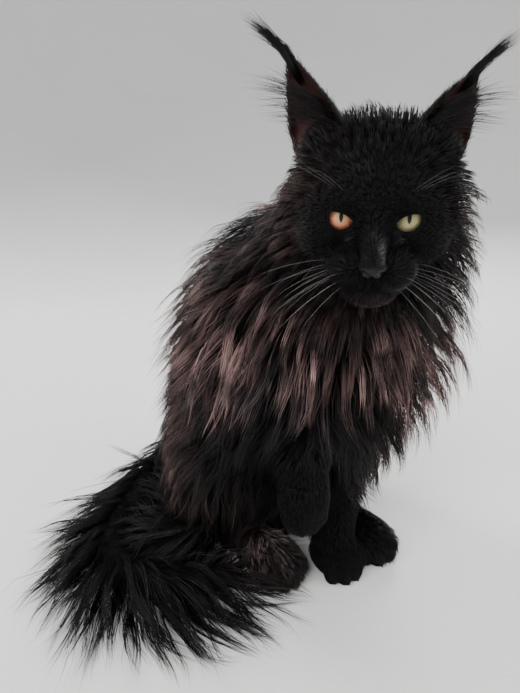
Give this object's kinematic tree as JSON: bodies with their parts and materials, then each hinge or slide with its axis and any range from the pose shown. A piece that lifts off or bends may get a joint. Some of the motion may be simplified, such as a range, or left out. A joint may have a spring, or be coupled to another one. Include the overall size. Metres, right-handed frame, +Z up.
{
  "type": "maine coon cat",
  "caption": "Life-size still model of a seated long-haired cat with one forepaw raised, head turned and plumed tail laid round its side.",
  "frame": {"origin": "on the floor under the rump, at the middle of the flat it sits on", "axes": "+Z up, +X to the cat's left, -Y the way its chest faces"},
  "size_m": [0.4169, 0.4099, 0.4589],
  "materials": {
    "short_coat": "short black hair, soft sheen",
    "long_coat": "long black-smoke hair, brown at the tips",
    "eye": "wet and glossy, yellow-green to copper iris"
  },
  "bodies": {
    "root": {"head": "short_coat", "ear_left": "short_coat", "ear_right": "short_coat", "eye_left": "eye", "eye_right": "eye", "neck": "long_coat", "torso": "long_coat", "foreleg_left": "short_coat", "foreleg_right": "short_coat", "hindleg_left": "long_coat", "hindleg_right": "long_coat", "hindpaw_left": "short_coat", "hindpaw_right": "short_coat", "tail_base": "long_coat", "tail_middle": "long_coat", "tail_tip": "long_coat"}
  },
  "joints": []
}
